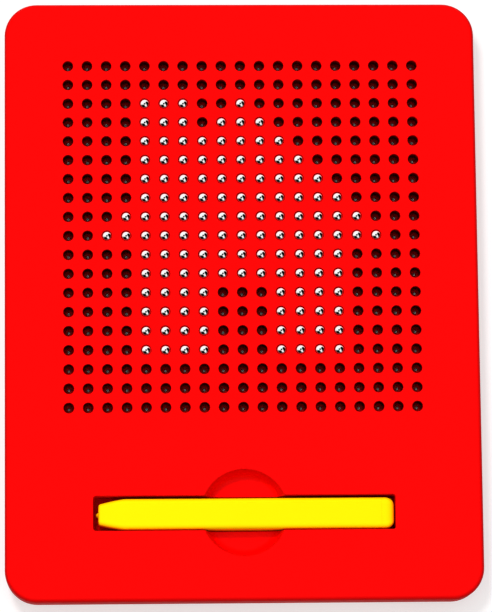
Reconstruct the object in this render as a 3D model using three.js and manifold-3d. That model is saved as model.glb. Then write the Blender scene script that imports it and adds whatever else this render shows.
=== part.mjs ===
// A magnetic drawing board: a flat two-part case whose face has a square field of small holes.
// A steel bead stands under each hole, in a channel of an inner tray. The magnet in the stylus
// lifts beads to the face, where a slotted magnet sheet holds them, and a finger pushes them down.
// Lengths are in millimetres. X runs across the face, Y along it towards the field, Z out of it.
// The origin is the middle of the back.

import * as THREE from "three";
import { mergeVertices } from "three/addons/utils/BufferGeometryUtils.js";
import Module from "manifold-3d";

// Case
const boardCornerRadius = 10;
const caseWall = 1.8;
const faceThickness = 1.6;
const faceEdgeRound = 1.8;
const backFloorThickness = 2.1;
const backEdgeRound = 3;
const seamHeight = 5;
const seamGap = 0.3;
const lipWall = 1.5;
const lipRise = 2.5;
const lipGap = 0.3;
const cornerSteps = 5;
const edgeRoundSteps = 3;

// Field of holes, and the margins from its outermost holes to the case's edges and the trough
const beadsPerSide = 19;
const beadPitch = 6;
const fieldSideMargin = 19.8;
const fieldTopMargin = 20;
const fieldToTrough = 32.7;
const troughToEnd = 27.3;
const holeDiameter = 3.2;
const holeSides = 6;
const fieldSkin = 0.5;

// Beads
const beadDiameter = 4;
const beadRimGap = 0.06;
const beadSideGap = 0.3;
const beadFloorGap = 0.1;
const beadJoinDiameter = 0.6;
const beadShoulder = 0.8;
const raisedBeadSides = 5;
const loweredBeadSides = 4;

// Magnet sheet and bead tray
const trayEdge = 2.4;
const sheetThickness = 0.9;
const sheetGap = 0.1;
const trayFloor = 1.4;
const trayFloorGap = 0.3;
const traySideGap = 0.3;
const trayTopGap = 0.1;
const trayRibThickness = 1.2;
const trayRibDepth = 4;

// The picture that the raised beads form, a house in the middle of the field, as counts of beads
const rowsAboveHouseCount = 2;
const gableRowsCount = 8;
const wallRowsCount = 6;
const wallColumnsCount = 11;
const chimneyColumnsCount = 3;
const doorRowsCount = 4;
const doorColumnsCount = 3;

// Stylus trough and its round finger scoop
const troughWall = 1.2;
const troughBackGap = 0.3;
const troughCornerRadius = 0.8;
const troughCornerSteps = 2;
const scoopRadius = 13.8;
const scoopFloorRadius = 11.4;
const scoopDepth = 6;
const scoopSides = 32;

// Stylus, and its clearances in the trough: before its nose, behind its tail, at the near and far
// side, under it and up to the face
const stylusLength = 92.1;
const stylusWidth = 9.6;
const stylusHeight = 8;
const stylusEdgeRadius = 2.2;
const stylusEdgeSteps = 3;
const stylusNoseGap = 0.8;
const stylusTailGap = 0.3;
const stylusNearGap = 0.3;
const stylusFarGap = 0.8;
const stylusFloorGap = 0.2;
const stylusFaceGap = 0.2;
const stylusTaperLength = 8.2;
const stylusNoseWidth = 6.8;
const stylusNoseHeight = 6;
const stylusNoseChamfer = 0.5;
const stylusNoseWall = 1.4;
const stylusNubDiameter = 1.8;
const stylusNubLength = 0.7;
const stylusBoreDiameter = 4.6;
const stylusCapLength = 4;
const stylusCapRound = 3;
const stylusCapSteps = 3;
const stylusCapGap = 0.3;
const stylusSpigotDiameter = 4;
const stylusSpigotLength = 8;
const stylusMagnetDiameter = 4;
const stylusMagnetLength = 12;
const stylusMagnetGap = 0.3;
const stylusRoundSides = 16;

// Case screws
const screwInsetX = 7.8;
const screwInsetY = 8.5;
const screwHeadDiameter = 5;
const screwHeadHeight = 1.2;
const screwShankDiameter = 2.2;
const screwRecessDiameter = 5.8;
const screwRecessDepth = 2.6;
const screwHoleDiameter = 2.8;
const screwGap = 0.3;
const screwTipLength = 1;
const postDiameter = 8;
const bossDiameter = 6;
const bossGap = 0.3;
const pilotDepth = 4.4;
const screwSides = 12;

// Every cut runs this far past the face that it leaves through.
const overrun = 1;

// Sizes and places that follow from the sizes above
const troughLength = stylusLength + stylusNoseGap + stylusTailGap;
const troughWidth = stylusWidth + stylusNearGap + stylusFarGap;
const troughDepth = stylusHeight + stylusFloorGap + stylusFaceGap;
const fieldSpan = (beadsPerSide - 1) * beadPitch;
const boardWidth = fieldSpan + 2 * fieldSideMargin;
const boardLength = fieldTopMargin + fieldSpan + fieldToTrough + troughToEnd;
const boardDepth = backFloorThickness + troughBackGap + troughWall + troughDepth;
const fieldCentreY = boardLength / 2 - fieldTopMargin - fieldSpan / 2;
const troughCentreY = troughToEnd - boardLength / 2;
const channelWidth = beadDiameter + 2 * beadSideGap;
const channelLength = fieldSpan + channelWidth;
const traySide = channelLength + 2 * trayEdge;
const trayRibInside = traySide + 2 * traySideGap;
const faceZ = boardDepth;
const facePlateUnderZ = faceZ - faceThickness;
const fieldUnderZ = faceZ - fieldSkin;
const coverSeamZ = seamHeight + seamGap;
const sheetTopZ = fieldUnderZ - sheetGap;
const trayTopZ = sheetTopZ - sheetThickness - trayTopGap;
const trayBottomZ = backFloorThickness + trayFloorGap;
const channelFloorZ = trayBottomZ + trayFloor;
const holeRadius = holeDiameter / 2;
const beadRadius = beadDiameter / 2;
const raisedBeadZ = fieldUnderZ - Math.sqrt((beadRadius + beadRimGap) ** 2 - holeRadius ** 2);
const loweredBeadZ = channelFloorZ + beadFloorGap + beadRadius;
const troughFloorZ = faceZ - troughDepth;
const scoopFloorZ = faceZ - scoopDepth;
const stylusCentreY = troughCentreY - (stylusFarGap - stylusNearGap) / 2;
const stylusCentreZ = troughFloorZ + stylusFloorGap + stylusHeight / 2;
const stylusTailX = troughLength / 2 - stylusTailGap;
const stylusNubX = stylusTailX - stylusLength;
const stylusNoseX = stylusNubX + stylusNubLength;
const stylusSeamX = stylusTailX - stylusCapLength;
const postTopZ = seamHeight;
const bossBottomZ = postTopZ + bossGap;

const wasm = await Module();
wasm.setup();

// A closed geometry as a solid that can be joined and cut.
function solidOf(geometry) {
  const bare = geometry.clone();
  bare.deleteAttribute("normal");
  bare.deleteAttribute("uv");
  const merged = mergeVertices(bare);
  return new wasm.Manifold(
    new wasm.Mesh({
      numProp: 3,
      vertProperties: new Float32Array(merged.attributes.position.array),
      triVerts: new Uint32Array(merged.index.array),
    }),
  );
}

// A solid as a geometry with flat-shaded faces.
function geometryOf(solid) {
  const mesh = solid.getMesh();
  const indexed = new THREE.BufferGeometry();
  indexed.setAttribute("position", new THREE.BufferAttribute(mesh.vertProperties, mesh.numProp));
  indexed.setIndex(new THREE.BufferAttribute(mesh.triVerts, 1));
  const geometry = indexed.toNonIndexed();
  geometry.computeVertexNormals();
  return geometry;
}

// The outline of a rectangle with round corners, as points that run anticlockwise.
function roundedOutline(width, height, radius, steps) {
  const x = width / 2 - radius;
  const y = height / 2 - radius;
  const corners = [
    [x, -y, -Math.PI / 2],
    [x, y, 0],
    [-x, y, Math.PI / 2],
    [-x, -y, Math.PI],
  ];
  const points = [];
  for (const [cornerX, cornerY, start] of corners) {
    for (let step = 0; step <= steps; step += 1) {
      const angle = start + (step / steps) * (Math.PI / 2);
      points.push([cornerX + radius * Math.cos(angle), cornerY + radius * Math.sin(angle)]);
    }
  }
  return points;
}

// A closed solid through outlines of equal point counts, each at its own height.
function loft(sections) {
  const positions = [];
  for (const { outline, z } of sections) {
    for (const [x, y] of outline) positions.push(x, y, z);
  }
  const count = sections[0].outline.length;
  const faces = [];
  for (let level = 0; level < sections.length - 1; level += 1) {
    for (let point = 0; point < count; point += 1) {
      const a = level * count + point;
      const b = level * count + ((point + 1) % count);
      faces.push(a, b, b + count, a, b + count, a + count);
    }
  }
  const top = (sections.length - 1) * count;
  for (let point = 1; point < count - 1; point += 1) {
    faces.push(0, point + 1, point);
    faces.push(top, top + point, top + point + 1);
  }
  const geometry = new THREE.BufferGeometry();
  geometry.setAttribute("position", new THREE.Float32BufferAttribute(positions, 3));
  geometry.setIndex(faces);
  return solidOf(geometry);
}

// An upright block with round corners, between two heights.
function roundedBlock(width, height, radius, steps, fromZ, toZ) {
  const outline = roundedOutline(width, height, radius, steps);
  return loft([
    { outline, z: fromZ },
    { outline, z: toZ },
  ]);
}

// The board's outline drawn in on all sides by an inset.
function boardOutline(inset) {
  const radius = boardCornerRadius - inset;
  return roundedOutline(boardWidth - 2 * inset, boardLength - 2 * inset, radius, cornerSteps);
}

// A square block centred on the field of holes.
function fieldBlock(side, fromZ, toZ) {
  const block = new THREE.BoxGeometry(side, side, toZ - fromZ);
  block.translate(0, fieldCentreY, (fromZ + toZ) / 2);
  return solidOf(block);
}

// An upright cylinder between two heights, standing at a point.
function uprightCylinder(diameter, sides, x, y, fromZ, toZ) {
  const cylinder = new THREE.CylinderGeometry(diameter / 2, diameter / 2, toZ - fromZ, sides);
  cylinder.rotateX(Math.PI / 2);
  cylinder.translate(x, y, (fromZ + toZ) / 2);
  return solidOf(cylinder);
}

// A turned solid about an upright axis, from radius and height pairs that start and end on it.
function uprightTurned(profile, sides, x, y) {
  const points = profile.map(([radius, z]) => new THREE.Vector2(radius, z));
  const turned = new THREE.LatheGeometry(points, sides);
  turned.rotateX(Math.PI / 2);
  turned.translate(x, y, 0);
  return solidOf(turned);
}

function joined(solids) {
  return solids.reduce((whole, solid) => whole.add(solid));
}

const columnX = (column) => (column - (beadsPerSide + 1) / 2) * beadPitch;
const rowY = (row) => fieldCentreY - (row - (beadsPerSide + 1) / 2) * beadPitch;

const screwPlaces = [-1, 1].flatMap((sideY) =>
  [-1, 1].map((sideX) => ({
    name: `${sideY > 0 ? "top" : "bottom"}_${sideX > 0 ? "right" : "left"}`,
    x: sideX * (boardWidth / 2 - screwInsetX),
    y: sideY * (boardLength / 2 - screwInsetY),
  })),
);

// The cuts for all holes of the field: six-sided prisms of the area of the round hole.
function fieldHoles() {
  const areaShare = Math.sqrt((2 * Math.PI) / (holeSides * Math.sin((2 * Math.PI) / holeSides)));
  const corners = [];
  for (let corner = 0; corner < holeSides; corner += 1) {
    const angle = (corner / holeSides) * 2 * Math.PI;
    corners.push([holeRadius * areaShare * Math.cos(angle), holeRadius * areaShare * Math.sin(angle)]);
  }
  const holes = [];
  for (let row = 1; row <= beadsPerSide; row += 1) {
    for (let column = 1; column <= beadsPerSide; column += 1) {
      const outline = corners.map(([x, y]) => [columnX(column) + x, rowY(row) + y]);
      holes.push(
        loft([
          { outline, z: fieldUnderZ - overrun },
          { outline, z: faceZ + overrun },
        ]),
      );
    }
  }
  return wasm.Manifold.compose(holes);
}

// Channels, one under each column of holes, for the tray and the magnet sheet.
function fieldChannels(fromZ, toZ) {
  const channels = [];
  for (let column = 1; column <= beadsPerSide; column += 1) {
    const channel = new THREE.BoxGeometry(channelWidth, channelLength, toZ - fromZ);
    channel.translate(columnX(column), fieldCentreY, (fromZ + toZ) / 2);
    channels.push(solidOf(channel));
  }
  return wasm.Manifold.compose(channels);
}

// The hollow of the trough and of the round dish that lets two fingers reach the stylus.
function stylusHollow() {
  const trough = roundedBlock(
    troughLength,
    troughWidth,
    troughCornerRadius,
    troughCornerSteps,
    troughFloorZ,
    faceZ + overrun,
  ).translate(0, troughCentreY, 0);
  const scoopProfile = [
    [0, scoopFloorZ],
    [scoopFloorRadius, scoopFloorZ],
    [scoopRadius, faceZ],
    [scoopRadius, faceZ + overrun],
    [0, faceZ + overrun],
  ];
  return trough.add(uprightTurned(scoopProfile, scoopSides, 0, troughCentreY));
}

// The walls that carry that hollow under the face.
function stylusHousing() {
  const trough = roundedBlock(
    troughLength + 2 * troughWall,
    troughWidth + 2 * troughWall,
    troughCornerRadius + troughWall,
    troughCornerSteps,
    troughFloorZ - troughWall,
    facePlateUnderZ + faceThickness / 2,
  ).translate(0, troughCentreY, 0);
  const dishProfile = [
    [0, scoopFloorZ - troughWall],
    [scoopFloorRadius + troughWall, scoopFloorZ - troughWall],
    [scoopRadius + troughWall, facePlateUnderZ + faceThickness / 2],
    [0, facePlateUnderZ + faceThickness / 2],
  ];
  return trough.add(uprightTurned(dishProfile, scoopSides, 0, troughCentreY));
}

// Front cover: one moulding with the face, its side walls, the trough, the ribs round the tray
// and the bosses that take the screws.
function frontCover() {
  const sections = [{ outline: boardOutline(0), z: coverSeamZ }];
  for (let step = 0; step <= edgeRoundSteps; step += 1) {
    const angle = (step / edgeRoundSteps) * (Math.PI / 2);
    sections.push({
      outline: boardOutline(faceEdgeRound * (1 - Math.cos(angle))),
      z: faceZ - faceEdgeRound * (1 - Math.sin(angle)),
    });
  }
  const outside = loft(sections);
  const inside = loft([
    { outline: boardOutline(caseWall), z: coverSeamZ - overrun },
    { outline: boardOutline(caseWall), z: facePlateUnderZ },
  ]);
  const ribs = fieldBlock(
    trayRibInside + 2 * trayRibThickness,
    facePlateUnderZ - trayRibDepth,
    facePlateUnderZ + faceThickness / 2,
  ).subtract(fieldBlock(trayRibInside, facePlateUnderZ - trayRibDepth - overrun, faceZ));
  const bosses = screwPlaces.map(({ x, y }) =>
    uprightCylinder(bossDiameter, screwSides, x, y, bossBottomZ, facePlateUnderZ + faceThickness / 2),
  );
  const pilots = screwPlaces.map(({ x, y }) =>
    uprightCylinder(
      screwShankDiameter + 2 * screwGap,
      screwSides,
      x,
      y,
      bossBottomZ - overrun,
      bossBottomZ + pilotDepth,
    ),
  );
  return joined([outside.subtract(inside), stylusHousing(), ribs, ...bosses])
    .subtract(joined(pilots))
    .subtract(stylusHollow())
    .subtract(fieldBlock(trayRibInside, facePlateUnderZ - overrun, fieldUnderZ))
    .subtract(fieldHoles());
}

// Back cover: a shallow tub with a lip that reaches inside the front cover and a hollow post
// round each screw.
function backCover() {
  const sections = [];
  for (let step = 0; step <= edgeRoundSteps; step += 1) {
    const angle = (step / edgeRoundSteps) * (Math.PI / 2);
    sections.push({
      outline: boardOutline(backEdgeRound * (1 - Math.sin(angle))),
      z: backEdgeRound * (1 - Math.cos(angle)),
    });
  }
  sections.push({ outline: boardOutline(0), z: seamHeight });
  const lipOutline = boardOutline(caseWall + lipGap);
  const hollowOutline = boardOutline(caseWall + lipGap + lipWall);
  const lip = loft([
    { outline: lipOutline, z: backFloorThickness },
    { outline: lipOutline, z: seamHeight + lipRise },
  ]);
  const hollow = loft([
    { outline: hollowOutline, z: backFloorThickness },
    { outline: hollowOutline, z: seamHeight + lipRise + overrun },
  ]);
  const posts = screwPlaces.map(({ x, y }) =>
    uprightCylinder(postDiameter, screwSides, x, y, backFloorThickness / 2, postTopZ),
  );
  const bores = screwPlaces.map(({ x, y }) =>
    uprightCylinder(screwRecessDiameter, screwSides, x, y, -overrun, screwRecessDepth).add(
      uprightCylinder(screwHoleDiameter, screwSides, x, y, 0, postTopZ + overrun),
    ),
  );
  return joined([loft(sections).add(lip).subtract(hollow), ...posts]).subtract(joined(bores));
}

// Bead tray: a square plate with one deep channel under each column of holes.
function beadTray() {
  return fieldBlock(traySide, trayBottomZ, trayTopZ).subtract(
    fieldChannels(channelFloorZ, trayTopZ + overrun),
  );
}

// Magnet sheet: one flexible sheet, slotted along each column.
function magnetSheet() {
  const sheetBottomZ = sheetTopZ - sheetThickness;
  return fieldBlock(traySide, sheetBottomZ, sheetTopZ).subtract(
    fieldChannels(sheetBottomZ - overrun, sheetTopZ + overrun),
  );
}

// A pan-head screw that points up from its recess in the back.
function caseScrew() {
  const shankRadius = screwShankDiameter / 2;
  const headRadius = screwHeadDiameter / 2;
  const seatZ = screwRecessDepth - screwGap;
  const tipZ = bossBottomZ + pilotDepth - screwGap;
  const profile = [
    [0, seatZ - screwHeadHeight],
    [headRadius - screwHeadHeight / 2, seatZ - screwHeadHeight],
    [headRadius, seatZ - screwHeadHeight / 2],
    [headRadius, seatZ],
    [shankRadius, seatZ],
    [shankRadius, tipZ - screwTipLength],
    [0, tipZ],
  ];
  return uprightTurned(profile, screwSides, 0, 0);
}

// Beads of one column that stand beside each other at one height, turned about the column's line.
// A thin core joins them, so that they are one solid.
function beadStretch(firstRow, lastRow, sides, shoulders) {
  const joinRadius = beadJoinDiameter / 2;
  const joinOffset = Math.sqrt(beadRadius ** 2 - joinRadius ** 2);
  const profile = [];
  for (let row = lastRow; row >= firstRow; row -= 1) {
    const centre = rowY(row);
    profile.push([joinRadius, centre - joinOffset]);
    for (const shoulder of shoulders) {
      profile.push([Math.sqrt(beadRadius ** 2 - shoulder ** 2), centre + shoulder]);
    }
    profile.push([joinRadius, centre + joinOffset]);
  }
  const closed = [[0, profile[0][1]], ...profile, [0, profile.at(-1)[1]]];
  return new THREE.LatheGeometry(
    closed.map(([radius, y]) => new THREE.Vector2(radius, y)),
    sides,
  );
}

// Which beads stand at the face: a plain house with a gable, a chimney and a doorway.
function isRaised(row, column) {
  const houseRow = row - rowsAboveHouseCount;
  const houseRowsCount = gableRowsCount + wallRowsCount;
  const middleColumn = (beadsPerSide + 1) / 2;
  const firstColumn = middleColumn - (wallColumnsCount - 1) / 2;
  const fromMiddle = Math.abs(column - middleColumn);
  if (houseRow < 1 || houseRow > houseRowsCount) return false;
  if (houseRow <= gableRowsCount) {
    const inChimney = column >= firstColumn && column < firstColumn + chimneyColumnsCount;
    return inChimney || fromMiddle < houseRow;
  }
  const inDoorRows = houseRow > houseRowsCount - doorRowsCount;
  const inDoorway = inDoorRows && fromMiddle <= (doorColumnsCount - 1) / 2;
  return fromMiddle <= (wallColumnsCount - 1) / 2 && !inDoorway;
}

// The beads of a column, split where their height changes.
function stretchesOf(column) {
  const stretches = [];
  for (let row = 1; row <= beadsPerSide; row += 1) {
    const raised = isRaised(row, column);
    const last = stretches.at(-1);
    if (last && last.raised === raised) {
      last.lastRow = row;
    } else {
      stretches.push({ raised, firstRow: row, lastRow: row });
    }
  }
  return stretches;
}

// An outline of the stylus across its length, drawn in towards its axis.
function stylusOutline(width, height, edgeRadius) {
  return roundedOutline(height, width, edgeRadius, stylusEdgeSteps);
}

// Turns what was built along Z so that it lies along the stylus, with its nose to the left.
function alongStylus(solid) {
  return solid.rotate([0, 90, 0]).translate([0, stylusCentreY, stylusCentreZ]);
}

function stylusCylinder(diameter, fromX, toX) {
  return alongStylus(uprightCylinder(diameter, stylusRoundSides, 0, 0, fromX, toX));
}

// Stylus barrel: a moulded tube, tapered to a blunt nose with a small nub, open at the tail.
function stylusBarrel() {
  const tipWidth = stylusNoseWidth - 2 * stylusNoseChamfer;
  const tipHeight = stylusNoseHeight - 2 * stylusNoseChamfer;
  const noseEdge = (stylusEdgeRadius * stylusNoseHeight) / stylusHeight;
  const tipEdge = (stylusEdgeRadius * tipHeight) / stylusHeight;
  const body = alongStylus(
    loft([
      { outline: stylusOutline(tipWidth, tipHeight, tipEdge), z: stylusNoseX },
      {
        outline: stylusOutline(stylusNoseWidth, stylusNoseHeight, noseEdge),
        z: stylusNoseX + stylusNoseChamfer,
      },
      {
        outline: stylusOutline(stylusWidth, stylusHeight, stylusEdgeRadius),
        z: stylusNoseX + stylusTaperLength,
      },
      { outline: stylusOutline(stylusWidth, stylusHeight, stylusEdgeRadius), z: stylusSeamX },
    ]),
  );
  const nub = stylusCylinder(stylusNubDiameter, stylusNubX, stylusNoseX + stylusNoseWall / 2);
  const bore = stylusCylinder(stylusBoreDiameter, stylusNoseX + stylusNoseWall, stylusSeamX + overrun);
  return body.add(nub).subtract(bore);
}

// End cap: a rounded plug for the tail, with a spigot inside the barrel.
function stylusEndCap() {
  const shoulderX = stylusTailX - stylusCapRound;
  const sections = [
    {
      outline: stylusOutline(stylusWidth, stylusHeight, stylusEdgeRadius),
      z: stylusSeamX + stylusCapGap,
    },
  ];
  for (let step = 0; step <= stylusCapSteps; step += 1) {
    const angle = (step / stylusCapSteps) * (Math.PI / 2);
    const inset = stylusEdgeRadius * (1 - Math.cos(angle));
    sections.push({
      outline: stylusOutline(
        stylusWidth - 2 * inset,
        stylusHeight - 2 * inset,
        stylusEdgeRadius - inset / 2,
      ),
      z: shoulderX + stylusCapRound * Math.sin(angle),
    });
  }
  const spigot = stylusCylinder(
    stylusSpigotDiameter,
    stylusSeamX - stylusSpigotLength,
    stylusSeamX + stylusCapLength / 2,
  );
  return alongStylus(loft(sections)).add(spigot);
}

// Stylus magnet: a rod behind the nose.
function stylusMagnet() {
  const fromX = stylusNoseX + stylusNoseWall + stylusMagnetGap;
  return stylusCylinder(stylusMagnetDiameter, fromX, fromX + stylusMagnetLength);
}

const caseRed = new THREE.MeshStandardMaterial({ color: 0xf50a08, roughness: 0.45, metalness: 0 });
const stylusYellow = new THREE.MeshStandardMaterial({ color: 0xfff205, roughness: 0.4, metalness: 0 });
const trayRed = new THREE.MeshStandardMaterial({ color: 0xc41010, roughness: 0.6, metalness: 0 });
const magnetBlack = new THREE.MeshStandardMaterial({ color: 0x26221f, roughness: 0.85, metalness: 0.1 });
const beadSteel = new THREE.MeshStandardMaterial({ color: 0xd9dcde, roughness: 0.15, metalness: 1 });
const screwSteel = new THREE.MeshStandardMaterial({ color: 0x8d9092, roughness: 0.35, metalness: 1 });
const magnetNickel = new THREE.MeshStandardMaterial({ color: 0xb4b3ae, roughness: 0.25, metalness: 1 });

const drawingBoard = new THREE.Group();
drawingBoard.name = "magnetic_drawing_board";

function addPiece(name, geometry, material, parent = drawingBoard) {
  const mesh = new THREE.Mesh(geometry, material);
  mesh.name = name;
  parent.add(mesh);
  return mesh;
}

addPiece("front_cover", geometryOf(frontCover()), caseRed);
addPiece("back_cover", geometryOf(backCover()), caseRed);
addPiece("bead_tray", geometryOf(beadTray()), trayRed);
addPiece("magnet_sheet", geometryOf(magnetSheet()), magnetBlack);

const screwGeometry = geometryOf(caseScrew());
for (const { name, x, y } of screwPlaces) {
  addPiece(`case_screw_${name}`, screwGeometry, screwSteel).position.set(x, y, 0);
}

const stylus = new THREE.Group();
stylus.name = "stylus";
drawingBoard.add(stylus);
addPiece("stylus_barrel", geometryOf(stylusBarrel()), stylusYellow, stylus);
addPiece("stylus_end_cap", geometryOf(stylusEndCap()), stylusYellow, stylus);
addPiece("stylus_magnet", geometryOf(stylusMagnet()), magnetNickel, stylus);

for (let column = 1; column <= beadsPerSide; column += 1) {
  const columnName = String(column).padStart(2, "0");
  for (const { raised, firstRow, lastRow } of stretchesOf(column)) {
    const height = raised ? "raised" : "lowered";
    const rows = `${String(firstRow).padStart(2, "0")}_${String(lastRow).padStart(2, "0")}`;
    const geometry = raised
      ? beadStretch(firstRow, lastRow, raisedBeadSides, [-beadShoulder, beadShoulder])
      : beadStretch(firstRow, lastRow, loweredBeadSides, [0]);
    const beads = addPiece(`beads_${height}_column_${columnName}_rows_${rows}`, geometry, beadSteel);
    beads.position.set(columnX(column), 0, raised ? raisedBeadZ : loweredBeadZ);
  }
}

export default drawingBoard;
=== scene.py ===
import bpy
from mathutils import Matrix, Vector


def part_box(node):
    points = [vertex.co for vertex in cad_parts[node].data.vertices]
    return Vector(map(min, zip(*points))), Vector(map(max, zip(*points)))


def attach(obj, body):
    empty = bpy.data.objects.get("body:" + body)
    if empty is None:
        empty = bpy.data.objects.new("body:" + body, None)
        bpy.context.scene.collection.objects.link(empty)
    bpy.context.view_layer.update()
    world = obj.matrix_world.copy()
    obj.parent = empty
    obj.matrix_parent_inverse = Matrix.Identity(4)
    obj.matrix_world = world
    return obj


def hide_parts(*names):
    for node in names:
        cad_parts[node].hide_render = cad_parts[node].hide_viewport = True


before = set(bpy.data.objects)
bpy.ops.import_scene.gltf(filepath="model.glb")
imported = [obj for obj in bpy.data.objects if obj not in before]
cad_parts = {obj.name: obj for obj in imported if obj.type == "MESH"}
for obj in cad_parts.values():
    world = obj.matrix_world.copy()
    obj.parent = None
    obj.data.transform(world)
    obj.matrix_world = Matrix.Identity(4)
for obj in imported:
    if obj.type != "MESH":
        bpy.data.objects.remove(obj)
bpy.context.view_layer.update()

import re

import bmesh
import bpy
import numpy as np
from mathutils import Euler, Vector
from mathutils.geometry import delaunay_2d_cdt

# Sizes are in millimetres, and a mesh is put into metres when it is made.
mm = 0.001


# Back cover: the shallow tub that closes the case from behind, moulded in red plastic. Its lip
# reaches inside the front cover, and a hollow post stands over the recess of each screw.
def box_corners(node):
    """The lowest and the highest corner of a CAD node, in millimetres."""
    return np.array(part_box(node)) / mm


back_low, back_high = box_corners("back_cover")
board_half = (back_high - back_low)[:2] / 2
board_corner_radius = 10
board_corner_steps = 14
back_floor_thickness = 2.1
back_edge_round = 3
back_edge_steps = 7
seam_height = 5
seam_edge = 0.2
lip_inset = 2.1
lip_thickness = 1.5
lip_edge = 0.2
post_radius = 3.6
post_bore_radius = 1.4
screw_recess_radius = 2.9
screw_recess_depth = 2.6
screw_recess_edge = 0.25
screw_sides = 32
weld_distance = 0.0005
sharp_angle = 38
level_face_weight = 90


def grid(points, closed=False):
    """Quads between neighbouring rows and columns of points. In a closed grid the last column is
    joined to the first."""
    rows, columns = points.shape[:2]
    index = np.arange(rows * columns).reshape(rows, columns)
    if closed:
        index = np.c_[index, index[:, :1]]
    quads = np.stack([index[:-1, :-1], index[:-1, 1:], index[1:, 1:], index[1:, :-1]], axis=-1)
    return points.reshape(-1, 3), quads.reshape(-1, 4)


def arc(centre, radius, start, end, steps):
    """An arc of a circle: its centre plus its radius times the cosine and sine of the angle."""
    angles = np.radians(np.linspace(start, end, steps + 1))
    return np.array(centre) + radius * np.c_[np.cos(angles), np.sin(angles)]


def rounded_outline(half_size, radius, steps):
    """A rectangle with round corners: four arcs about centres one radius in from both sides."""
    inner = np.array(half_size) - radius
    corners = [(1, -1, -90), (1, 1, 0), (-1, 1, 90), (-1, -1, 180)]
    arcs = [
        arc(inner * (side_x, side_y), radius, start, start + 90, steps)
        for side_x, side_y, start in corners
    ]
    return np.concatenate(arcs)


def board_outline(inset):
    """The case's outline, drawn in on all sides by the inset."""
    return rounded_outline(board_half - inset, board_corner_radius - inset, board_corner_steps)


def at_height(points, height):
    """Points of the plane, all put at one height."""
    return np.c_[points, np.full(len(points), height)]


def carried(profile, outline):
    """A profile carried round an outline: each row is the outline at one inset, at one height."""
    rows = [at_height(outline(inset), height) for inset, height in profile]
    return grid(np.array(rows), closed=True)


def turned(profile, sides, centre):
    """A profile turned about an upright axis: x and y are its radius times cosine and sine."""
    angles = np.arange(sides) / sides * 2 * np.pi
    radii, heights = np.array(profile, float).T[:, :, None]
    x = centre[0] + radii * np.cos(angles)
    y = centre[1] + radii * np.sin(angles)
    return grid(np.stack([x, y, heights + 0 * x], axis=-1), closed=True)


def circle(radius, sides, centre):
    """The ring that turning leaves at one radius, as a loop in the plane."""
    return turned([(radius, 0)], sides, centre)[0][:, :2]


def is_inside(points, loop):
    """The even-odd rule: inside, a line to the right crosses the loop an odd number of times."""
    x, y = points.T[:, :, None]
    (start_x, start_y), (end_x, end_y) = loop.T, np.roll(loop, -1, axis=0).T
    spans = (start_y > y) != (end_y > y)
    turn = (end_x - start_x) * (y - start_y) - (end_y - start_y) * (x - start_x)
    return (spans & ((turn > 0) == (end_y > start_y))).sum(axis=1) % 2 == 1


def flat_region(height, outer, *holes):
    """Delaunay triangles at one height, inside the outer loop and outside the loops of its holes."""
    only_inside = 1
    edges = []
    points = []
    for loop in (outer, *holes):
        index = len(points) + np.arange(len(loop))
        edges += np.c_[index, np.roll(index, -1)].tolist()
        points += loop.tolist()
    flat, _, faces, *_ = delaunay_2d_cdt(points, edges, [], only_inside, weld_distance)
    flat = np.array(flat)
    faces = np.array(faces)
    middles = flat[faces].mean(axis=1)
    for hole in holes:
        keep = ~is_inside(middles, hole)
        faces = faces[keep]
        middles = middles[keep]
    return at_height(flat, height), faces


def sewn_mesh(name, patches):
    """One mesh of patches in millimetres: points that meet are merged, and faces turned outwards."""
    points = []
    faces = []
    first = 0
    for patch_points, patch_faces in patches:
        points.append(patch_points)
        faces += (np.asarray(patch_faces) + first).tolist()
        first += len(patch_points)
    mesh = bpy.data.meshes.new(name)
    mesh.from_pydata(np.concatenate(points) * mm, [], faces)
    sewn = bmesh.new()
    sewn.from_mesh(mesh)
    bmesh.ops.remove_doubles(sewn, verts=sewn.verts, dist=weld_distance * mm)
    bmesh.ops.recalc_face_normals(sewn, faces=sewn.faces)
    sewn.to_mesh(mesh)
    sewn.free()
    return mesh


def new_piece(name, patches, finish, body, node):
    """A smooth-shaded piece that rides on a body, stands for its CAD node and has a finish."""
    mesh = sewn_mesh(name, patches)
    mesh.shade_smooth()
    mesh.set_sharp_from_angle(angle=np.radians(sharp_angle))
    mesh.materials.append(finish)
    piece = bpy.data.objects.new(name, mesh)
    bpy.context.scene.collection.objects.link(piece)
    level_faces = piece.modifiers.new("level faces", "WEIGHTED_NORMAL")
    level_faces.keep_sharp = True
    level_faces.weight = level_face_weight
    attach(piece, body)
    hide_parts(node)


class Socket:
    """An output of a shader node. Operators on it add Math nodes."""

    def __init__(self, tree, output):
        self.tree = tree
        self.output = output

    def __add__(self, other):
        return self.tree.math("ADD", self, other)

    def __sub__(self, other):
        return self.tree.math("SUBTRACT", self, other)

    def __rsub__(self, other):
        return self.tree.math("SUBTRACT", other, self)

    def __mul__(self, other):
        return self.tree.math("MULTIPLY", self, other)

    def __truediv__(self, other):
        return self.tree.math("DIVIDE", self, other)

    def __abs__(self):
        return self.tree.math("ABSOLUTE", self)

    __radd__ = __add__
    __rmul__ = __mul__


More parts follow.
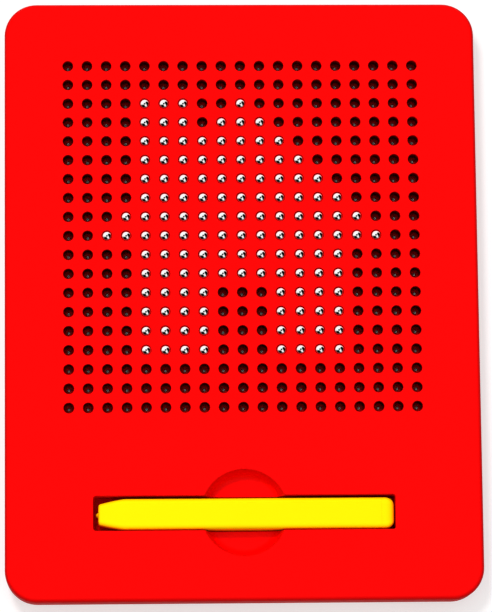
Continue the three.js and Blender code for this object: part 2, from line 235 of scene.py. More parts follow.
class Tree:
    """The shader nodes of a material or of the world."""

    def __init__(self, owner):
        owner.use_nodes = True
        self.nodes = owner.node_tree.nodes
        self.links = owner.node_tree.links
        self.nodes.clear()

    def node(self, kind, settings=None, sockets=None, output=0):
        """Adds a node, sets it up, then gives each of its sockets a value or a link."""
        made = self.nodes.new(kind)
        for setting, value in (settings or {}).items():
            setattr(made, setting, value)
        for socket, value in (sockets or {}).items():
            if isinstance(value, Socket):
                self.links.new(value.output, made.inputs[socket])
            else:
                made.inputs[socket].default_value = value
        return Socket(self, made.outputs[output]) if made.outputs else None

    def math(self, operation, *values):
        """A Math node, whose inputs are values or sockets."""
        return self.node("ShaderNodeMath", {"operation": operation}, dict(enumerate(values)))

    def place(self):
        """The place on the piece, in metres."""
        return self.node("ShaderNodeTexCoord", output="Object")

    def noise(self, place, scale, detail):
        """Noise from 0 to 1 with features about one over the scale in size, in metres. The detail
        is how many times finer noise is laid over it."""
        sockets = {"Vector": place, "Scale": scale, "Detail": detail}
        return self.node("ShaderNodeTexNoise", sockets=sockets)

    def smooth_step(self, value, start, end, low=0, high=1):
        """Goes smoothly from low to high as the value goes from start to end."""
        sockets = {"Value": value, "From Min": start, "From Max": end, "To Min": low, "To Max": high}
        return self.node("ShaderNodeMapRange", {"interpolation_type": "SMOOTHSTEP"}, sockets)

    def bump(self, height, strength, distance):
        """A normal bent by a height, which is a share of the distance in millimetres."""
        sockets = {"Strength": strength, "Distance": distance * mm, "Height": height}
        return self.node("ShaderNodeBump", sockets=sockets)

    def blend(self, share, first, second):
        """A colour that goes from the first to the second as the share goes from 0 to 1. A Mix
        node has several inputs named A and B, so its colours are given by their index."""
        first, second = [end if isinstance(end, Socket) else (*end, 1) for end in (first, second)]
        sockets = {"Factor": share, 6: first, 7: second}
        return self.node("ShaderNodeMix", {"data_type": "RGBA"}, sockets, output=2)

    def surface(self, sockets):
        """Ends a material in a Principled shader with these sockets."""
        shader = self.node("ShaderNodeBsdfPrincipled", sockets=sockets)
        self.node("ShaderNodeOutputMaterial", sockets={"Surface": shader})


plastic_clouds = {"scale": 45, "detail": 3}
plastic_sheen = {"scale": 160, "detail": 4}
plastic_grain = {"scale": 5200, "detail": 2}
noise_middle = 0.5
plastic_sheen_spread = 0.12
plastic_grain_height = 0.012
plastic_bump_strength = 0.5
plastic_bump_distance = 1


def moulded_plastic(name, colour, shade, roughness, specular, extra_bump=None, extra_painted_shade=None):
    """Injection-moulded plastic: cloudy colour, patchy sheen and a fine grain left by the tool."""
    material = bpy.data.materials.new(name)
    tree = Tree(material)
    place = tree.place()
    sheen = tree.noise(place, **plastic_sheen) - noise_middle
    height = tree.noise(place, **plastic_grain) * plastic_grain_height
    if extra_bump:
        height = height + extra_bump(tree, place)
    tint = tree.blend(tree.noise(place, **plastic_clouds), colour, shade)
    # An extra tint may paint shade into the colour, as on the case's outer wall.
    if extra_painted_shade:
        tint = extra_painted_shade(tree, place, tint)
    surface = {
        "Base Color": tint,
        "Roughness": roughness + sheen * plastic_sheen_spread,
        "Specular IOR Level": specular,
        "Normal": tree.bump(height, plastic_bump_strength, plastic_bump_distance),
    }
    tree.surface(surface)
    return material


# Painted shade: the case's outer wall gets a deeper red, which stands in for the shade where its rounded
# edge turns away from the light.
wall_painted_shade_red = (0.7, 0.0012, 0.0012)
wall_painted_shade_start = -3
wall_painted_shade_end = -1.8
wall_painted_shade_low = 11.2
wall_painted_shade_high = 11.95


def wall_painted_shade(tree, place, tint):
    """Painted shade on the case's outer wall: a deeper red near the outline in the plan, and below the
    face, which stands in for the shade where the rounded edge and the wall turn away from the light.
    A place is beside the outline by its distance from the rectangle of the corners' centres, less
    the corner radius."""
    x, y, z = [
        tree.node("ShaderNodeSeparateXYZ", sockets={"Vector": place}, output=axis) for axis in "XYZ"
    ]
    inner = (board_half - board_corner_radius) * mm
    across = tree.math("MAXIMUM", abs(x) - inner[0], 0)
    along = tree.math("MAXIMUM", abs(y) - inner[1], 0)
    beside = tree.math("SQRT", across * across + along * along) - board_corner_radius * mm
    near = tree.smooth_step(beside, wall_painted_shade_start * mm, wall_painted_shade_end * mm)
    below = 1 - tree.smooth_step(z, wall_painted_shade_low * mm, wall_painted_shade_high * mm)
    return tree.blend(near * below, tint, wall_painted_shade_red)


def screw_places():
    """The middle of each screw in the plan, from the CAD's screws."""
    names = [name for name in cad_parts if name.startswith("case_screw_")]
    return {name: box_corners(name).mean(axis=0)[:2] for name in names}


def back_cover_patches():
    """The tub's wall and lip round the outline, its two level floors and the four screw posts."""
    edge = arc((back_edge_round, back_edge_round), back_edge_round, 270, 180, back_edge_steps)
    lip_top = back_high[2]
    lip_back = lip_inset + lip_thickness
    wall = [
        *edge,
        (0, seam_height - seam_edge),
        (seam_edge, seam_height),
        (lip_inset, seam_height),
        (lip_inset, lip_top - lip_edge),
        (lip_inset + lip_edge, lip_top),
        (lip_back - lip_edge, lip_top),
        (lip_back, lip_top - lip_edge),
        (lip_back, back_floor_thickness),
    ]
    post = [
        (post_radius, back_floor_thickness),
        (post_radius, seam_height),
        (post_bore_radius, seam_height),
        (post_bore_radius, screw_recess_depth),
        (screw_recess_radius, screw_recess_depth),
        (screw_recess_radius, screw_recess_edge),
        (screw_recess_radius + screw_recess_edge, 0),
    ]
    places = list(screw_places().values())
    under_loops = [circle(post[-1][0], screw_sides, place) for place in places]
    upper_loops = [circle(post[0][0], screw_sides, place) for place in places]
    return [
        carried(wall, board_outline),
        flat_region(0, board_outline(back_edge_round), *under_loops),
        flat_region(back_floor_thickness, board_outline(lip_back), *upper_loops),
        *[turned(post, screw_sides, place) for place in places],
    ]


case_red = (0.93, 0.0014, 0.0014)
case_red_shade = (0.90, 0.0012, 0.0013)
case_roughness = 0.42
case_specular = 0.12
# The back cover's outer wall gets the painted shade of the case's wall.
back_plastic = moulded_plastic(
    "back plastic", case_red, case_red_shade, case_roughness, case_specular, extra_painted_shade=wall_painted_shade
)
new_piece(
    "back_cover_moulding", back_cover_patches(), back_plastic, "case", "back_cover"
)


# Case screws: four zinc-plated pan-head screws with a cross recess, driven from behind through
# the posts of the back cover into the bosses of the front cover.
screw_head_radius = 2.5
screw_head_height = 1.2
screw_shank_radius = 1.1
screw_tip_length = 1
cross_half_length = 1.45
cross_half_width = 0.36
cross_depth = 0.8
cross_slope = 0.12
screw_head_rings = 22
screw_head_sides = 64


def screw_patches(place, low_z, high_z):
    """A turned head and shank. The head's height falls from its middle with the square of the
    radius, and a cross of two crossed bars is sunk into it with steep sides."""
    radii = np.linspace(0, screw_head_radius, screw_head_rings)[:, None]
    angles = np.arange(screw_head_sides) / screw_head_sides * 2 * np.pi
    x = radii * np.cos(angles)
    y = radii * np.sin(angles)
    along = np.minimum(cross_half_length - np.abs(x), cross_half_width - np.abs(y))
    across = np.minimum(cross_half_width - np.abs(x), cross_half_length - np.abs(y))
    sunk = np.clip(np.maximum(along, across) / cross_slope, 0, 1) * cross_depth
    dome = screw_head_height / 2 * (radii / screw_head_radius) ** 2
    head = np.stack([place[0] + x, place[1] + y, low_z + dome + sunk], axis=-1)
    seat_z = low_z + screw_head_height
    side = [
        (screw_head_radius, low_z + screw_head_height / 2),
        (screw_head_radius, seat_z),
        (screw_shank_radius, seat_z),
        (screw_shank_radius, high_z - screw_tip_length),
        (0, high_z),
    ]
    return [grid(head, closed=True), turned(side, screw_head_sides, place)]


zinc_grey = (0.44, 0.44, 0.45)
zinc_pale = (0.60, 0.60, 0.60)
zinc_blotches = {"scale": 900, "detail": 3}
zinc_marks = {"scale": 6000, "detail": 2}
zinc_roughness = 0.25
zinc_roughness_spread = 0.2
zinc_bump_strength = 0.3
zinc_bump_distance = 0.02


def zinc_plating():
    """Zinc on steel: a grey, slightly blotchy metal with fine tool marks."""
    material = bpy.data.materials.new("zinc plating")
    tree = Tree(material)
    place = tree.place()
    blotches = tree.noise(place, **zinc_blotches)
    marks = tree.noise(place, **zinc_marks)
    surface = {
        "Base Color": tree.blend(blotches, zinc_grey, zinc_pale),
        "Metallic": 1.0,
        "Roughness": zinc_roughness + blotches * zinc_roughness_spread,
        "Normal": tree.bump(marks, zinc_bump_strength, zinc_bump_distance),
    }
    tree.surface(surface)
    return material


screw_finish = zinc_plating()
for screw_name, screw_place in screw_places().items():
    screw_low, screw_high = box_corners(screw_name)
    screw_shape = screw_patches(screw_place, screw_low[2], screw_high[2])
    new_piece(f"{screw_name}_turned", screw_shape, screw_finish, "case", screw_name)


# Bead tray: a square plate of red plastic inside the case. Each bead falls into a round blind
# cell of its own, and the depth of the cell sets how far it falls.
tray_low, tray_high = box_corners("bead_tray")
field_centre = (tray_low + tray_high)[:2] / 2
tray_half = (tray_high - tray_low)[:2] / 2
beads_per_side = 19
bead_pitch = 6
cell_radius = 2.3
cell_floor_thickness = 1.4
cell_spokes = 16
tray_corner_radius = 1
tray_corner_steps = 3
field_half = beads_per_side * bead_pitch / 2
bead_places = (np.arange(beads_per_side) - (beads_per_side - 1) / 2) * bead_pitch
place_digits = 6


def field_cells(rings):
    """The same cell under every hole. A ring is a height and a radius, or no radius for the square
    border of the cell, whose points lie where its spokes leave the square."""
    angles = np.arange(cell_spokes) / cell_spokes * 2 * np.pi
    spokes = np.c_[np.cos(angles), np.sin(angles)]
    border = spokes / np.abs(spokes).max(axis=1, keepdims=True) * bead_pitch / 2
    rows = []
    for height, radius in rings:
        ring = border if radius is None else spokes * radius
        rows.append(at_height(ring, height))
    points, quads = grid(np.array(rows), closed=True)
    across, along = np.meshgrid(field_centre[0] + bead_places, field_centre[1] + bead_places)
    centres = at_height(np.c_[across.ravel(), along.ravel()], 0)
    cell_points = centres[:, None] + points
    cell_quads = np.arange(len(centres))[:, None, None] * len(points) + quads
    return cell_points.reshape(-1, 3), cell_quads.reshape(-1, 4)


def field_border():
    """The square round all cells, with a point wherever a spoke of an outer cell reaches it. One
    side is worked out, and turned by quarters for the others."""
    angles = np.arange(cell_spokes) / cell_spokes * 2 * np.pi
    on_side = np.tan(angles[angles <= np.pi / 4]) * bead_pitch / 2
    marks = np.concatenate([-on_side, on_side])
    run = np.unique((bead_places[:, None] + marks).round(place_digits))[:-1]
    side = np.c_[run, np.full_like(run, -field_half)]
    directions = ((1, 0), (0, 1), (-1, 0), (0, -1))
    turns = [np.array([[cosine, sine], [-sine, cosine]]) for cosine, sine in directions]
    return field_centre + np.concatenate([side @ turn for turn in turns])


def square_outline(half_size):
    """Outlines of a slightly rounded square about the middle of the field."""

    def outline(inset):
        square = rounded_outline(half_size - inset, tray_corner_radius, tray_corner_steps)
        return field_centre + square

    return outline


def tray_patches():
    """The plate's sides and underside, its level top and the blind cells in it."""
    outline = square_outline(tray_half)
    low, high = tray_low[2], tray_high[2]
    floor = low + cell_floor_thickness
    return [
        carried([(0, low), (0, high)], outline),
        flat_region(low, outline(0)),
        flat_region(high, outline(0), field_border()),
        field_cells([(high, None), (high, cell_radius), (floor, cell_radius), (floor, 0)]),
    ]


tray_red = (0.8, 0.004, 0.004)
tray_red_shade = (0.72, 0.003, 0.003)
tray_roughness = 0.5
tray_specular = 0.2
tray_plastic = moulded_plastic("tray plastic", tray_red, tray_red_shade, tray_roughness, tray_specular)
new_piece("bead_tray_moulding", tray_patches(), tray_plastic, "case", "bead_tray")


# Magnet sheet: black flexible magnet, punched with one round hole for each bead. It lies on the
# tray under the face, and its pull holds the beads that the stylus has lifted.
sheet_low, sheet_high = box_corners("magnet_sheet")


def sheet_patches():
    """The sheet's edge, its two level margins and the punched holes."""
    outline = square_outline((sheet_high - sheet_low)[:2] / 2)
    low, high = sheet_low[2], sheet_high[2]
    return [
        carried([(0, low), (0, high)], outline),
        flat_region(low, outline(0), field_border()),
        flat_region(high, outline(0), field_border()),
        field_cells([(high, None), (high, cell_radius), (low, cell_radius), (low, None)]),
    ]


ferrite_black = (0.012, 0.008, 0.008)
ferrite_grey = (0.035, 0.028, 0.026)
ferrite_specks = {"scale": 2500, "detail": 4}
rubber_pebbles = {"scale": 1200, "detail": 3}
rubber_roughness = 0.7
rubber_roughness_spread = 0.2
rubber_bump_strength = 0.4
rubber_bump_distance = 0.05


def magnet_rubber():
    """Rubber filled with ferrite: nearly black, with faint grey specks and a pebbled skin."""
    material = bpy.data.materials.new("magnet rubber")
    tree = Tree(material)
    place = tree.place()
    specks = tree.noise(place, **ferrite_specks)
    pebbles = tree.noise(place, **rubber_pebbles)
    surface = {
        "Base Color": tree.blend(specks, ferrite_black, ferrite_grey),
        "Roughness": rubber_roughness + pebbles * rubber_roughness_spread,
        "Normal": tree.bump(pebbles, rubber_bump_strength, rubber_bump_distance),
    }
    tree.surface(surface)
    return material


new_piece(
    "magnet_sheet_punched", sheet_patches(), magnet_rubber(), "case", "magnet_sheet"
)


# Beads: 361 polished steel balls, one under each hole. They are loose, and 130 of them stand at
# the face, against the rims of their holes. The frame moves the neighbours of one column
# together, so each group is one piece.
face_z = box_corners("front_cover")[1][2]
hole_radius = 1.6
hole_round = 0.4
bead_radius = 2
bead_segments = 12
bead_polar_angles = (0, 15, 31, 47, 66, 90, 128, 180)
bead_rim_gap = 0.02
raised_bead_z = face_z - hole_round - np.sqrt((bead_radius + bead_rim_gap) ** 2 - hole_radius**2)
lowered_bead_z = 5.9
steel_grey = (0.86, 0.87, 0.88)
steel_bright = (0.93, 0.93, 0.92)
steel_haze = {"scale": 700, "detail": 3}
steel_roughness = 0.05
steel_roughness_spread = 0.08


def polished_steel():
    """Bearing steel: a bright mirror with a faint haze."""
    material = bpy.data.materials.new("polished steel")
    tree = Tree(material)
    haze = tree.noise(tree.place(), **steel_haze)
    surface = {
        "Base Color": tree.blend(haze, steel_grey, steel_bright),
        "Metallic": 1.0,
        "Roughness": steel_roughness + haze * steel_roughness_spread,
    }
    tree.surface(surface)
    return material


def bead_patches(column, rows, height):
    """Balls of one column: rings at fixed angles from the top, radius times sine and cosine.
    Columns count from the left and rows from the top, both from 1."""
    polar = np.radians(bead_polar_angles)
    profile = np.c_[np.sin(polar), np.cos(polar)] * bead_radius + (0, height)
    x = field_centre[0] + bead_places[column - 1]
    return [turned(profile, bead_segments, (x, field_centre[1] - bead_places[row - 1])) for row in rows]


bead_steel = polished_steel()
for bead_node in sorted(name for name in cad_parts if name.startswith("beads_")):
    state, column, first_row, last_row = re.match(
        r"beads_(\w+)_column_(\d+)_rows_(\d+)_(\d+)", bead_node
    ).groups()
    bead_height = raised_bead_z if state == "raised" else lowered_bead_z
    bead_rows = range(int(first_row), int(last_row) + 1)
    bead_shape = bead_patches(int(column), bead_rows, bead_height)
    bead_body = bead_node.removeprefix("beads_")
    new_piece(f"balls_{bead_body}", bead_shape, bead_steel, bead_body, bead_node)


# Front cover: one red moulding with the face and its field of round holes, rounded along its
# edges. The stylus trough and the round finger scoop are sunk into it, and ribs and screw bosses
# stand behind the face.
case_wall = 1.8
field_skin = 0.5
face_thickness = 1.6
face_edge_round = 1.8
face_edge_steps = 8
face_margin = 1
cover_seam_z = 5.3
rib_inner_half = 59
rib_thickness = 1.2
rib_depth = 4
boss_radius = 3
boss_bore_radius = 1.4
boss_bore_depth = 4.4
trough_half = np.array([46.6, 5.35])
trough_centre_y = -66.7
trough_corner_radius = 0.8
trough_corner_steps = 3
trough_depth = 8.4
trough_wall = 1.2
trough_floor_round = 0.5
scoop_floor_radius = 11.4
scoop_depth = 6
scoop_slope = 0.34
scoop_floor_round = 2.2
scoop_foot_end = -22
scoop_middle_share = 0.75
scoop_arc_steps = 20
hollow_rim = 0.3
scoop_rim_stretch = 2.6
round_steps = 4


def hollow_quarter(half_size, corner_radius, rest):
    """A quarter of a loop round the trough, from its end to its middle line: the end's middle, the
    corner's arc, then the rest of the points, which run along its side or round the scoop."""
    corner = arc(half_size - corner_radius, corner_radius, 0, 90, trough_corner_steps)
    return np.concatenate([[(half_size[0], 0)], corner, rest])


def scoop_quarter_arc(radius, half_width):
    """The scoop's rim from where it leaves the trough's side to the middle line."""
    start = np.degrees(np.arcsin(min(1, half_width / radius)))
    return arc((0, 0), radius, start, 90, scoop_arc_steps)


def full_loop(quarter):
    """A quarter from the X axis to the Y axis, mirrored to a whole loop."""
    upper_left = (quarter * (-1, 1))[::-1][1:]
    lower_right = (quarter * (1, -1))[::-1][1:-1]
    loop = np.concatenate([quarter, upper_left, -quarter[1:], lower_right])
    return loop + (0, trough_centre_y)


def four_quarters(points):
    """A grid of one quarter and its three mirror images, moved to the trough."""
    sides = [(x, y, 1) for x in (1, -1) for y in (1, -1)]
    return [grid(points * side + (0, trough_centre_y, 0)) for side in sides]


def hollow_patches(grow, top_z, rim):
    """The trough and the scoop under one rim. The scoop's radius grows with its height by a fixed
    slope above a round foot, and the trough's side is cut off at the scoop's surface. The rim is a
    quarter round, stretched outwards along the scoop. Grown by a wall's thickness and without a
    rim, the same shape is the outside of that wall, seen from behind."""
    half = trough_half + grow
    corner_radius = trough_corner_radius + grow
    floor_z = face_z - trough_depth - grow
    dish_z = face_z - scoop_depth - grow
    dish_radius = scoop_floor_radius + grow
    wall_top = top_z - rim
    foot = arc(
        (dish_radius - scoop_floor_round / 2, dish_z + scoop_floor_round),
        scoop_floor_round,
        -90,
        scoop_foot_end,
        round_steps,
    )
    top_radius = dish_radius + scoop_slope * (wall_top - dish_z)
    middle_radius = dish_radius * scoop_middle_share
    dish = [(top_radius, wall_top), *foot[::-1], (middle_radius, dish_z), (half[1], dish_z)]
    arcs = [at_height(scoop_quarter_arc(radius, half[1]), height) for radius, height in dish]
    scoop = np.array(arcs)

    rim_rows = []
    rim_angles = np.linspace(0, 90, round_steps + 1) if rim else [90]
    for angle in np.radians(rim_angles):
        out = rim * (1 - np.sin(angle))
        level = top_z - rim * (1 - np.cos(angle))
        rim_arc = scoop_quarter_arc(top_radius + out * scoop_rim_stretch, half[1] + out)
        row = hollow_quarter(half + out, corner_radius + out, rim_arc)
        rim_rows.append(at_height(row, level))

    side = scoop[:, 0]
    top_row = hollow_quarter(half, corner_radius, side[:, :2])
    heights = np.full(len(top_row), wall_top)
    heights[-len(side):] = side[:, 2]
    wall_rows = [np.c_[top_row, heights]]
    for angle in np.radians(np.linspace(0, 90, round_steps + 1)):
        inset = trough_floor_round * (1 - np.cos(angle))
        row = hollow_quarter(half - inset, corner_radius - inset, side[:, :2] - (0, inset))
        level = floor_z + trough_floor_round * (1 - np.sin(angle))
        wall_rows.append(at_height(row, level))

    patches = [
        *four_quarters(scoop),
        *four_quarters(np.array(wall_rows)),
        flat_region(floor_z, full_loop(wall_rows[-1][:, :2])),
    ]
    if rim:
        patches += four_quarters(np.array(rim_rows))
    return patches, full_loop(rim_rows[0][:, :2])


def front_cover_patches():
    """The wall round the outline, the face with its holes and its hollow, and the ribbed back."""
    under_z = face_z - face_thickness
    skin_z = face_z - field_skin
    edge = arc((face_edge_round, face_z - face_edge_round), face_edge_round, 180, 90, face_edge_steps)
    wall = [
        (case_wall, under_z),
        (case_wall, cover_seam_z),
        (seam_edge, cover_seam_z),
        (0, cover_seam_z + seam_edge),
        *edge,
        (face_edge_round + face_margin, face_z),
    ]
    hole_rings = [
        (face_z - hole_round * (1 - np.sin(angle)), hole_radius + hole_round * (1 - np.cos(angle)))
        for angle in (np.pi / 2, np.pi / 4, 0)
    ]
    hole_rings.append((skin_z, hole_radius + hole_round))
    rib = [
        (-rib_thickness, under_z),
        (-rib_thickness, under_z - rib_depth),
        (0, under_z - rib_depth),
        (0, skin_z),
    ]
    rib_outline = square_outline(np.array([rib_inner_half, rib_inner_half]))
    boss = [
        (boss_radius, under_z),
        (boss_radius, cover_seam_z),
        (boss_bore_radius, cover_seam_z),
        (boss_bore_radius, cover_seam_z + boss_bore_depth),
        (0, cover_seam_z + boss_bore_depth),
    ]
    places = list(screw_places().values())
    boss_loops = [circle(boss_radius, screw_sides, place) for place in places]
    hollow, hollow_loop = hollow_patches(0, face_z, hollow_rim)
    housing, housing_loop = hollow_patches(trough_wall, under_z, 0)
    face_outline = board_outline(face_edge_round + face_margin)
    under_outline = board_outline(case_wall)
    return [
        carried(wall, board_outline),
        flat_region(face_z, face_outline, field_border(), hollow_loop),
        field_cells([(face_z, None), *hole_rings, (skin_z, None)]),
        *hollow,
        flat_region(under_z, under_outline, rib_outline(-rib_thickness), housing_loop, *boss_loops),
        carried(rib, rib_outline),
        flat_region(skin_z, rib_outline(0), field_border()),
        *housing,
        *[turned(boss, screw_sides, place) for place in places],
    ]


gate_x = -0.05
gate_y = -53.2
gate_radius = 0.7
gate_ring_share = 0.5
gate_depth = 0.3


def gate_mark(tree, place):
    """The ring that the moulding gate left at the top of the scoop, as a height in millimetres. It
    fades out to both sides over a share of its radius."""
    away = tree.node(
        "ShaderNodeVectorMath",
        {"operation": "DISTANCE"},
        {0: place, 1: (gate_x * mm, gate_y * mm, face_z * mm)},
        output="Value",
    )
    ring = abs(away / (gate_radius * mm) - 1)
    return tree.smooth_step(ring, 0, gate_ring_share, -gate_depth, 0)


# The front cover's outer wall and rounded edge get the same painted shade.
front_plastic = moulded_plastic(
    "front plastic", case_red, case_red_shade, case_roughness, case_specular, gate_mark, wall_painted_shade
)
new_piece(
    "front_cover_moulding", front_cover_patches(), front_plastic, "case", "front_cover"
)


# Stylus barrel: a moulded yellow tube that lies in the trough. It is tapered to a blunt nose with
# a tiny nub, behind which a magnet sits in its bore.
barrel_low, barrel_high = box_corners("stylus_barrel")
stylus_centre = (barrel_low + barrel_high)[1:] / 2
stylus_half = (barrel_high - barrel_low)[1:] / 2
stylus_edge_radius = 1.5
stylus_edge_steps = 9
nub_length = 0.7
nub_radius = 0.85
nub_tip_radius = 0.45
nub_flat_radius = 0.27
nub_tip_edge = 0.12
nub_x = barrel_low[0]
nose_x = nub_x + nub_length
nose_half = np.array([3.4, 3.0])
nose_round = 0.9
nose_round_steps = 5
nose_edge_radius = 1.3
taper_length = 8.2
taper_ease = 1.3
taper_steps = 10
stylus_bore_radius = 2.3
stylus_bore_floor = 1.4
stylus_seam_edge = 0.03
stylus_seam_bulge = 0.01
stylus_seam_gap = 0.01
cap_length = 4
cap_high = box_corners("stylus_end_cap")[1]
seam_x = cap_high[0] - cap_length


def lofted(stations):
    """Outlines with round corners, each at its own place along the stylus. A station is that place,
    the two half sizes across and the corner radius, so that three equal lengths give a circle."""
    rows = []
    for x, half_width, half_height, radius in stations:
        loop = rounded_outline((half_width, half_height), radius, stylus_edge_steps) + stylus_centre
        rows.append(np.c_[np.full(len(loop), x), loop])
    return grid(np.array(rows), closed=True)


def taper_stations():
    """The nose: a quarter round, then a straight taper that eases into the barrel's full size by a
    parabola. At each place the half sizes go the same share of the way."""
    stations = []
    for angle in np.radians(np.linspace(0, 90, nose_round_steps + 1)):
        x = nose_x + nose_round * (1 - np.cos(angle))
        inset = nose_round * (1 - np.sin(angle))
        stations.append((x, *(nose_half - inset), nose_edge_radius - inset / 2))
    start = nose_x + nose_round
    for share in np.linspace(0, 1, taper_steps + 1)[1:]:
        eased = 1 - (1 - share) ** taper_ease
        half = nose_half + (stylus_half - nose_half) * eased
        radius = nose_edge_radius + (stylus_edge_radius - nose_edge_radius) * eased
        stations.append((start + (taper_length - nose_round) * share, *half, radius))
    return stations


def barrel_patches():
    """Nub, nose, barrel, the rounded edge at the seam, then the bore back to its floor."""
    end_x = seam_x + stylus_seam_gap
    edge = stylus_seam_edge
    bulge = stylus_seam_bulge
    bore = (stylus_bore_radius,) * 3
    stations = [
        (nub_x, 0, 0, 0),
        (nub_x, *(nub_flat_radius,) * 3),
        (nub_x + nub_tip_edge, *(nub_tip_radius,) * 3),
        (nose_x, *(nub_radius,) * 3),
        *taper_stations(),
        (end_x - edge, *stylus_half, stylus_edge_radius),
        (end_x - bulge, *(stylus_half - bulge), stylus_edge_radius - bulge),
        (end_x, *(stylus_half - edge), stylus_edge_radius - edge),
        (end_x, *bore),
        (nose_x + stylus_bore_floor, *bore),
        (nose_x + stylus_bore_floor, 0, 0, 0),
    ]
    return [lofted(stations)]


stylus_yellow = (1.0, 0.82, 0.001)
stylus_yellow_shade = (1.0, 0.8, 0.0008)
stylus_roughness = 0.35
stylus_specular = 0.1
stylus_plastic = moulded_plastic(
    "stylus plastic", stylus_yellow, stylus_yellow_shade, stylus_roughness, stylus_specular
)
new_piece(
    "stylus_barrel_moulding", barrel_patches(), stylus_plastic, "stylus", "stylus_barrel"
)


# Stylus end cap: a yellow plug with rounded corners, pushed into the open tail of the barrel by
# its spigot. Only a hairline seam shows.
cap_round = 3
cap_inset = 2.4
cap_steps = 9
spigot_radius = 2
spigot_length = 8


def cap_patches():
    """The cap's rounded edge at the seam, its sides, its tail as a quarter of an ellipse, and its
    spigot inside the barrel."""
    start_x = seam_x + 2 * stylus_seam_gap
    edge = stylus_seam_edge
    bulge = stylus_seam_bulge
    spigot = (spigot_radius,) * 3
    stations = [
        (seam_x - spigot_length, 0, 0, 0),
        (seam_x - spigot_length, *spigot),
        (start_x, *spigot),
        (start_x, *(stylus_half - edge), stylus_edge_radius - edge),
        (start_x + bulge, *(stylus_half - bulge), stylus_edge_radius - bulge),
        (start_x + edge, *stylus_half, stylus_edge_radius),
    ]
    shoulder_x = cap_high[0] - cap_round
    for angle in np.radians(np.linspace(0, 90, cap_steps + 1)):
        inset = cap_inset * (1 - np.cos(angle))
        x = shoulder_x + cap_round * np.sin(angle)
        stations.append((x, *(stylus_half - inset), max(stylus_edge_radius - inset / 2, 0)))
    stations.append((cap_high[0], 0, 0, 0))
    return [lofted(stations)]


new_piece(
    "stylus_cap_moulding", cap_patches(), stylus_plastic, "stylus", "stylus_end_cap"
)


# Stylus magnet: a nickel-plated rod in the bore, behind the nose. It is hidden, so the CAD's
# solid stays and only takes its plating.
nickel_dull = (0.62, 0.60, 0.56)
nickel_bright = (0.76, 0.74, 0.70)
nickel_patches = {"scale": 400, "detail": 3}
nickel_roughness = 0.15
nickel_roughness_spread = 0.15


def nickel_plating():
    """Nickel: a warm bright metal with soft patches of duller plating."""
    material = bpy.data.materials.new("nickel plating")
    tree = Tree(material)
    patches = tree.noise(tree.place(), **nickel_patches)
    surface = {
        "Base Color": tree.blend(patches, nickel_dull, nickel_bright),
        "Metallic": 1.0,
        "Roughness": nickel_roughness + patches * nickel_roughness_spread,
    }
    tree.surface(surface)
    return material


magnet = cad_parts["stylus_magnet"]
magnet.material_slots[0].material = nickel_plating()


# Floor: a plain white table, far larger than the board. It lies a hair below the back cover, so
# that the two level surfaces don't fall into one. It glows, less towards the board than towards
# the eye, so that it shows white while little of its light reaches the board's sides.
floor_half = 3000
floor_gap = 0.05
floor_grey = (0.38, 0.38, 0.38)
floor_pale = (0.4, 0.4, 0.4)
floor_clouds = {"scale": 3, "detail": 2}
floor_roughness = 0.9
floor_glow = (0.6, 0.6, 0.6)
floor_glow_seen = (1, 1, 1)
floor_glow_strength = 0.6


def table_top():
    """A white table: faintly cloudy, dull and evenly lit."""
    material = bpy.data.materials.new("white table")
    tree = Tree(material)
    seen = tree.node("ShaderNodeLightPath", output="Is Camera Ray")
    surface = {
        "Base Color": tree.blend(tree.noise(tree.place(), **floor_clouds), floor_grey, floor_pale),
        "Roughness": floor_roughness,
        "Emission Color": tree.blend(seen, floor_glow, floor_glow_seen),
        "Emission Strength": floor_glow_strength,
    }
    tree.surface(surface)
    return material


floor_corners = at_height(rounded_outline((floor_half, floor_half), 0, 0), -floor_gap)
floor_mesh = bpy.data.meshes.new("floor")
floor_mesh.from_pydata(floor_corners * mm, [], [range(len(floor_corners))])
floor_mesh.materials.append(table_top())
floor = bpy.data.objects.new("floor", floor_mesh)
bpy.context.scene.collection.objects.link(floor)


# Light: a soft sky that fades towards the horizon, and one soft lamp from the upper left, which
# gives the shadows. What shines mirrors a white tent instead, with dark gaps overhead, at the
# lower left and at the right, which show as the dark marks in the balls. The lamp is in metres.
sky_level = 1.05
sky_fade = (3, 60)
tent_level = 1.1
gap_places = (
    (2, 94, 21, 0.05),
    (48, -119, 31, 0),
    (84, -118, 66, 0.12),
    (52, 25, 32, 0),
    (69, -4, 37, 0.04),
    (96, -57, 40, 0.13),
)
gap_core = 0.6
lamp_place = (-0.28, 0.5, 1.1)
lamp_width = 0.25
lamp_power = 7.5


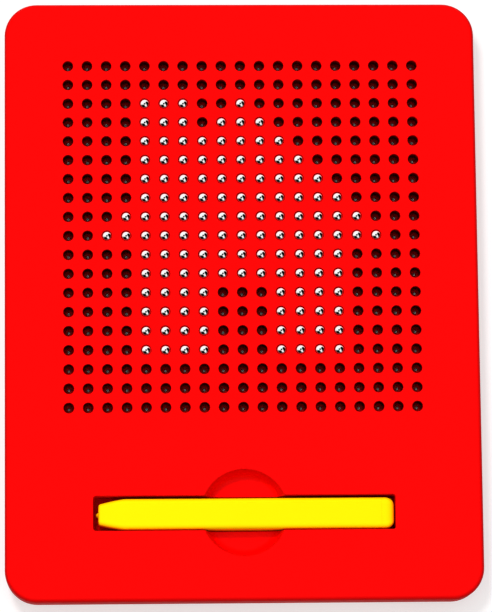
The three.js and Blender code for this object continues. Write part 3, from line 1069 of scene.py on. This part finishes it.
def tent_light():
    """The world's light by direction. What lights the board fades from overhead to the horizon. What
    shines in it is a level tent, less a round gap about each dark place, soft outside its core. A
    place is its angle from overhead, its angle round from X, its radius and the level left in its
    middle. All angles are in degrees."""
    world = bpy.data.worlds.new("white tent")
    bpy.context.scene.world = world
    tree = Tree(world)
    direction = tree.node("ShaderNodeTexCoord", output="Generated")
    level = tent_level
    for polar, around, radius, middle in gap_places:
        axis = Euler((0, np.radians(polar), np.radians(around))).to_matrix() @ Vector((0, 0, 1))
        facing = tree.node(
            "ShaderNodeVectorMath",
            {"operation": "DOT_PRODUCT"},
            {0: direction, 1: axis},
            output="Value",
        )
        edge, core = np.cos(np.radians((radius, radius * gap_core)))
        level = tree.smooth_step(facing, edge, core, 1, middle) * level
    height = tree.node("ShaderNodeSeparateXYZ", sockets={"Vector": direction}, output="Z")
    fade = tree.smooth_step(height, *np.sin(np.radians(sky_fade)))
    shine = tree.node("ShaderNodeLightPath", output="Is Glossy Ray")
    strength = fade * sky_level * (1 - shine) + level * shine
    background = tree.node("ShaderNodeBackground", sockets={"Color": (1, 1, 1, 1), "Strength": strength})
    tree.node("ShaderNodeOutputWorld", sockets={"Surface": background})


tent_light()
lamp_data = bpy.data.lights.new("lamp", "AREA")
lamp_data.shape = "DISK"
lamp_data.size = lamp_width
lamp_data.energy = lamp_power
lamp = bpy.data.objects.new("lamp", lamp_data)
lamp.location = lamp_place
lamp.visible_glossy = False
lamp.rotation_euler = (-lamp.location).to_track_quat("-Z", "Y").to_euler()
bpy.context.scene.collection.objects.link(lamp)


# Camera: above the lower end of the board, as in the photograph, with a long lens. Its place is in
# metres and its turn in degrees, and the view's gamma gives the photograph's contrast.
camera_place = (-0.04238, -0.17358, 1.1)
camera_turn = (8.96, -2.19, -0.62)
camera_lens = 208.66
camera_sensor_width = 36
view_gamma = 0.72
camera_data = bpy.data.cameras.new("camera")
camera_data.lens = camera_lens
camera_data.sensor_width = camera_sensor_width
camera = bpy.data.objects.new("camera", camera_data)
camera.location = camera_place
camera.rotation_euler = np.radians(camera_turn)
bpy.context.scene.collection.objects.link(camera)
bpy.context.scene.camera = camera
bpy.context.scene.view_settings.view_transform = "Standard"
bpy.context.scene.view_settings.gamma = view_gamma
